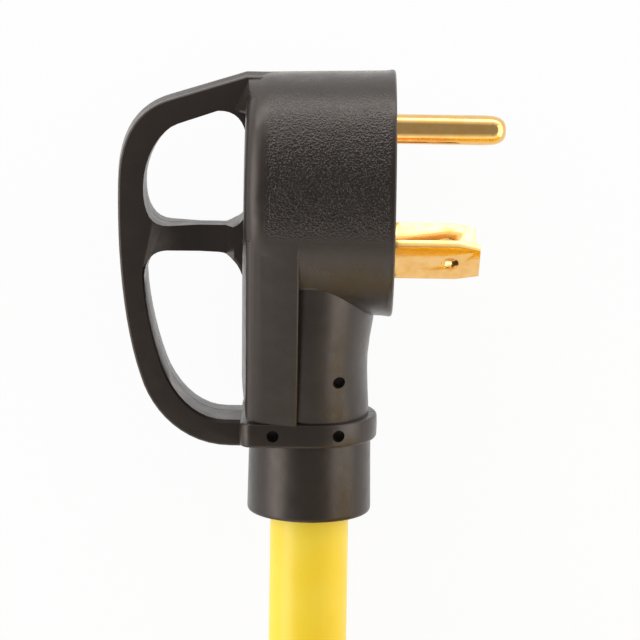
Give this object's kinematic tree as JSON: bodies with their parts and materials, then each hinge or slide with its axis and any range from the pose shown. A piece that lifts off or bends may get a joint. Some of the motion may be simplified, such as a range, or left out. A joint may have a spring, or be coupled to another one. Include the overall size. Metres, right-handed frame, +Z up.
{
  "type": "shore power cord",
  "caption": "Shore power cord: plug with a D-shaped grip, one round and two flat pins, coiled yellow cord and a locking connector.",
  "frame": {"origin": "on the surface the plug lies on, under the middle of what the plug covers (the cord, coil and far connector are left out)", "axes": "+X along the plug's pins, +Y along the surface from the cord towards the plug's head, +Z up from the surface"},
  "size_m": [0.2884, 0.3813, 0.1348],
  "materials": {
    "black_vinyl": "satin grained flexible PVC",
    "insert_plastic": "moulded nylon",
    "brass": "polished",
    "copper": "bare copper strands, drawn",
    "cord_jacket": "satin vinyl cord jacket",
    "connector_vinyl": "satin moulded vinyl",
    "green_insulation": "extruded PVC",
    "black_insulation": "extruded PVC",
    "white_insulation": "extruded PVC",
    "hook_and_loop": "woven strap with napped face",
    "ring_plastic": "moulded nylon",
    "gasket_rubber": "moulded silicone rubber",
    "plate_plastic": "moulded urea plastic"
  },
  "bodies": {
    "cord_set": {"head_overmould": "black_vinyl", "grip_handle": "black_vinyl", "blade_carrier": "insert_plastic", "ground_pin": "brass", "hot_blade": "brass", "neutral_blade": "brass", "plug_ground_strands": "copper", "plug_hot_strands": "copper", "plug_neutral_strands": "copper", "plug_ground_wire": "green_insulation", "plug_hot_wire": "black_insulation", "plug_neutral_wire": "white_insulation", "cord_lead": "cord_jacket", "cord_coil": "cord_jacket", "coil_tie": "hook_and_loop", "cord_tail": "cord_jacket", "connector_relief": "connector_vinyl", "connector_grip": "connector_vinyl", "ring_gasket": "gasket_rubber", "connector_face": "plate_plastic", "connector_ground_socket": "brass", "connector_hot_socket": "brass", "connector_neutral_socket": "brass", "connector_ground_strands": "copper", "connector_hot_strands": "copper", "connector_neutral_strands": "copper", "connector_ground_wire": "green_insulation", "connector_hot_wire": "black_insulation", "connector_neutral_wire": "white_insulation"},
    "ring": {"locking_ring": "ring_plastic"}
  },
  "joints": [
    {"name": "ring_turn", "type": "hinge", "parent": "cord_set", "child": "ring", "pos_m": [0.19364, -0.303, 0.10247], "axis": [0.9816, 0, 0.1908], "continuous": true}
  ]
}
